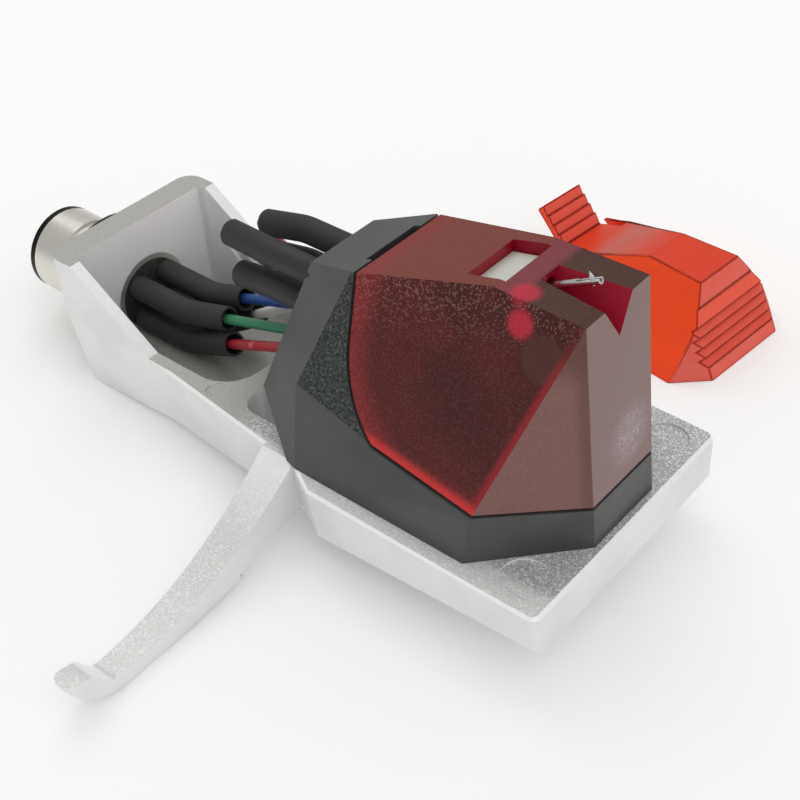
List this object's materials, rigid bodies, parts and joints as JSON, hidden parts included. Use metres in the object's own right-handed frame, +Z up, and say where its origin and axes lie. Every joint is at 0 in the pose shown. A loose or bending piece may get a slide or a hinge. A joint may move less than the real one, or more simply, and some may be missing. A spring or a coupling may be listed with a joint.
{
  "type": "turntable stylus cartridge",
  "caption": "Faceted moving-magnet cartridge with a removable ruby stylus unit on a bayonet headshell with finger lift, sleeved leads and a loose stylus guard.",
  "frame": {"origin": "on the axis of the connector tube, at its free end", "axes": "+X along the tube towards the stylus, +Z up with the stylus pointing up, finger lift at -Y"},
  "size_m": [0.0649, 0.073, 0.0276],
  "materials": {
    "cast_aluminium": "sandblasted die casting",
    "nickel": "polished nickel",
    "steel": "plain",
    "black_rubber": "matte",
    "black_plastic": "semi-matte",
    "brass": "turned",
    "gold": "gold-plated",
    "sleeve": "matte shrink tubing",
    "wire_green": "insulation",
    "wire_red": "insulation",
    "wire_blue": "insulation",
    "wire_white": "insulation",
    "copper": "enamelled winding",
    "ruby": "translucent, side facets grained",
    "bright_aluminium": "bright",
    "diamond": "polished",
    "orange_plastic": "moulded"
  },
  "bodies": {
    "headshell": {"headshell_casting": "cast_aluminium", "connector_tube": "nickel", "bayonet_pin": "steel", "collar_gasket": "black_rubber", "contact_insulator": "black_plastic", "mounting_screw_left": "steel", "screw_washer_left": "steel", "mount_insert_left": "brass", "mounting_screw_right": "steel", "screw_washer_right": "steel", "mount_insert_right": "brass", "contact_pin_green": "gold", "output_pin_green": "gold", "rear_clip_green": "gold", "front_clip_green": "gold", "rear_sleeve_green": "sleeve", "front_sleeve_green": "sleeve", "lead_wire_green": "wire_green", "coil_green": "copper", "pole_piece_green": "steel", "contact_pin_red": "gold", "output_pin_red": "gold", "rear_clip_red": "gold", "front_clip_red": "gold", "rear_sleeve_red": "sleeve", "front_sleeve_red": "sleeve", "lead_wire_red": "wire_red", "coil_red": "copper", "pole_piece_red": "steel", "contact_pin_blue": "gold", "output_pin_blue": "gold", "rear_clip_blue": "gold", "front_clip_blue": "gold", "rear_sleeve_blue": "sleeve", "front_sleeve_blue": "sleeve", "lead_wire_blue": "wire_blue", "coil_blue": "copper", "pole_piece_blue": "steel", "contact_pin_white": "gold", "output_pin_white": "gold", "rear_clip_white": "gold", "front_clip_white": "gold", "rear_sleeve_white": "sleeve", "front_sleeve_white": "sleeve", "lead_wire_white": "wire_white", "coil_white": "copper", "pole_piece_white": "steel", "cartridge_body": "black_plastic", "terminal_plate": "black_plastic"},
    "stylus_unit": {"stylus_holder": "ruby", "suspension_carrier": "bright_aluminium", "suspension_sleeve": "brass", "tie_wire": "steel"},
    "damper": {"damper_ring": "black_rubber"},
    "cantilever": {"cantilever": "bright_aluminium", "magnet": "steel", "stylus_tip": "diamond"},
    "guard": {"stylus_guard": "orange_plastic"}
  },
  "joints": [
    {"name": "stylus_pull", "type": "slide", "parent": "headshell", "child": "stylus_unit", "axis": [1, 0, 0], "range_m": [0, 0.012]},
    {"name": "cantilever_sweep", "type": "hinge", "parent": "stylus_unit", "child": "damper", "pos_m": [0.05317, 0, 0.0177], "axis": [-0.4772, 0, 0.8788], "range_deg": [-2.5, 2.5], "stiffness_Nm_per_rad": 0.0024},
    {"name": "cantilever_dip", "type": "hinge", "parent": "damper", "child": "cantilever", "pos_m": [0.05317, 0, 0.0177], "axis": [0, 1, 0], "range_deg": [-2.5, 2.5], "stiffness_Nm_per_rad": 0.0024},
    {"name": "guard_lift", "type": "slide", "parent": "headshell", "child": "guard", "axis": [0, 0, 1], "range_m": [0, 0.02]}
  ]
}
